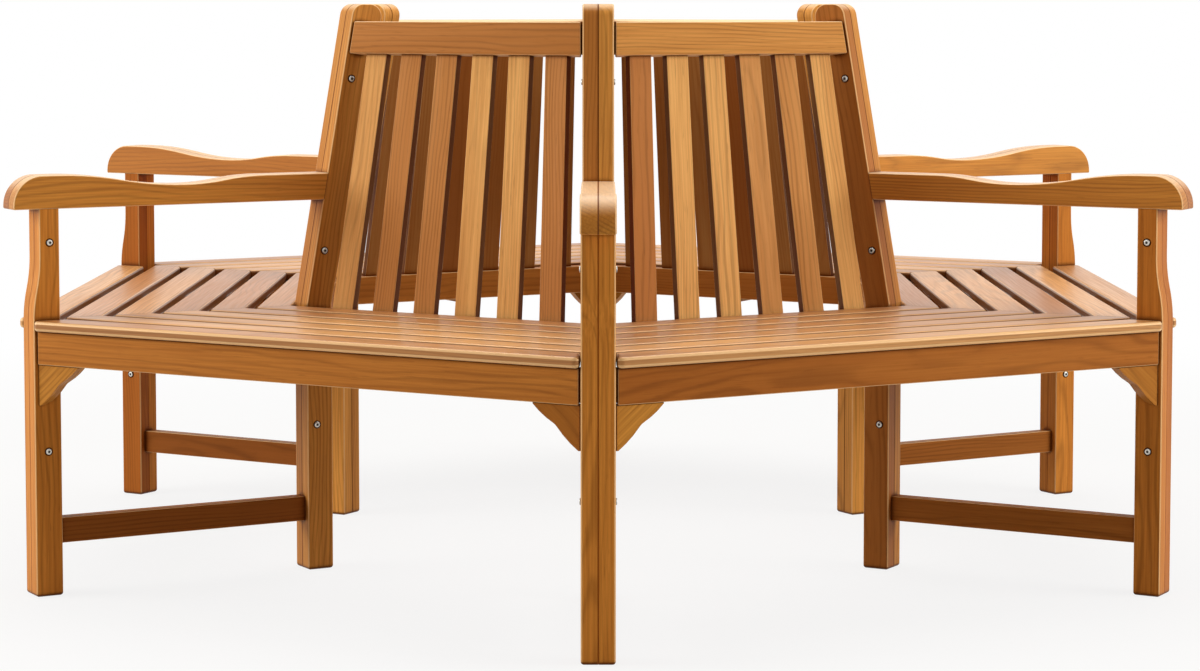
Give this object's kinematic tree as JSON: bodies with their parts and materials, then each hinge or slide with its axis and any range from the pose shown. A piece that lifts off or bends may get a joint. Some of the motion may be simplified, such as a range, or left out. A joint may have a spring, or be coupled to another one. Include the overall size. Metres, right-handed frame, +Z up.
{
  "type": "tree bench",
  "caption": "Hexagonal slatted hardwood bench that stands round a tree trunk, with leaning backs facing out and shaped armrests on doubled frames at the corners.",
  "frame": {"origin": "on the ground at the middle of the ring, where the trunk stands", "axes": "+Z up; -Y out through the corner that is nearest in the picture, +X to its right; the bays named right and left face +X and -X"},
  "size_m": [1.8424, 2.1, 0.92],
  "materials": {
    "leg_wood": "oiled, satin, planed square with eased edges",
    "post_wood": "oiled, satin, planed square with eased edges",
    "arm_wood": "oiled, satin, sanded smooth over the shaped top",
    "rail_wood": "oiled, satin",
    "seat_wood": "oiled, satin, rounded edges",
    "back_slat_wood": "oiled, satin",
    "brace_wood": "oiled, satin",
    "bolt_steel": "bright plated, turned",
    "screw_steel": "zinc plated"
  },
  "bodies": {
    "root": {"front_corner_legs": "leg_wood", "front_corner_back_posts": "post_wood", "front_corner_armrests": "arm_wood", "front_corner_seat_bearers": "brace_wood", "front_right_corner_legs": "leg_wood", "front_right_corner_back_posts": "post_wood", "front_right_corner_armrests": "arm_wood", "front_right_corner_seat_bearers": "brace_wood", "rear_right_corner_legs": "leg_wood", "rear_right_corner_back_posts": "post_wood", "rear_right_corner_armrests": "arm_wood", "rear_right_corner_seat_bearers": "brace_wood", "rear_corner_legs": "leg_wood", "rear_corner_back_posts": "post_wood", "rear_corner_armrests": "arm_wood", "rear_corner_seat_bearers": "brace_wood", "rear_left_corner_legs": "leg_wood", "rear_left_corner_back_posts": "post_wood", "rear_left_corner_armrests": "arm_wood", "rear_left_corner_seat_bearers": "brace_wood", "front_left_corner_legs": "leg_wood", "front_left_corner_back_posts": "post_wood", "front_left_corner_armrests": "arm_wood", "front_left_corner_seat_bearers": "brace_wood", "front_right_bay_apron": "rail_wood", "front_right_bay_seat_slats": "seat_wood", "front_right_bay_seat_rail": "rail_wood", "front_right_bay_top_rail": "rail_wood", "front_right_bay_back_slats": "back_slat_wood", "right_bay_apron": "rail_wood", "right_bay_seat_slats": "seat_wood", "right_bay_seat_rail": "rail_wood", "right_bay_top_rail": "rail_wood", "right_bay_back_slats": "back_slat_wood", "rear_right_bay_apron": "rail_wood", "rear_right_bay_seat_slats": "seat_wood", "rear_right_bay_seat_rail": "rail_wood", "rear_right_bay_top_rail": "rail_wood", "rear_right_bay_back_slats": "back_slat_wood", "rear_left_bay_apron": "rail_wood", "rear_left_bay_seat_slats": "seat_wood", "rear_left_bay_seat_rail": "rail_wood", "rear_left_bay_top_rail": "rail_wood", "rear_left_bay_back_slats": "back_slat_wood", "left_bay_apron": "rail_wood", "left_bay_seat_slats": "seat_wood", "left_bay_seat_rail": "rail_wood", "left_bay_top_rail": "rail_wood", "left_bay_back_slats": "back_slat_wood", "front_left_bay_apron": "rail_wood", "front_left_bay_seat_slats": "seat_wood", "front_left_bay_seat_rail": "rail_wood", "front_left_bay_top_rail": "rail_wood", "front_left_bay_back_slats": "back_slat_wood", "stretchers": "brace_wood", "middle_bearers": "brace_wood", "corner_brackets": "rail_wood", "slat_screws": "screw_steel", "pairing_bolts": "bolt_steel", "sleeve_nuts": "bolt_steel"}
  },
  "joints": []
}
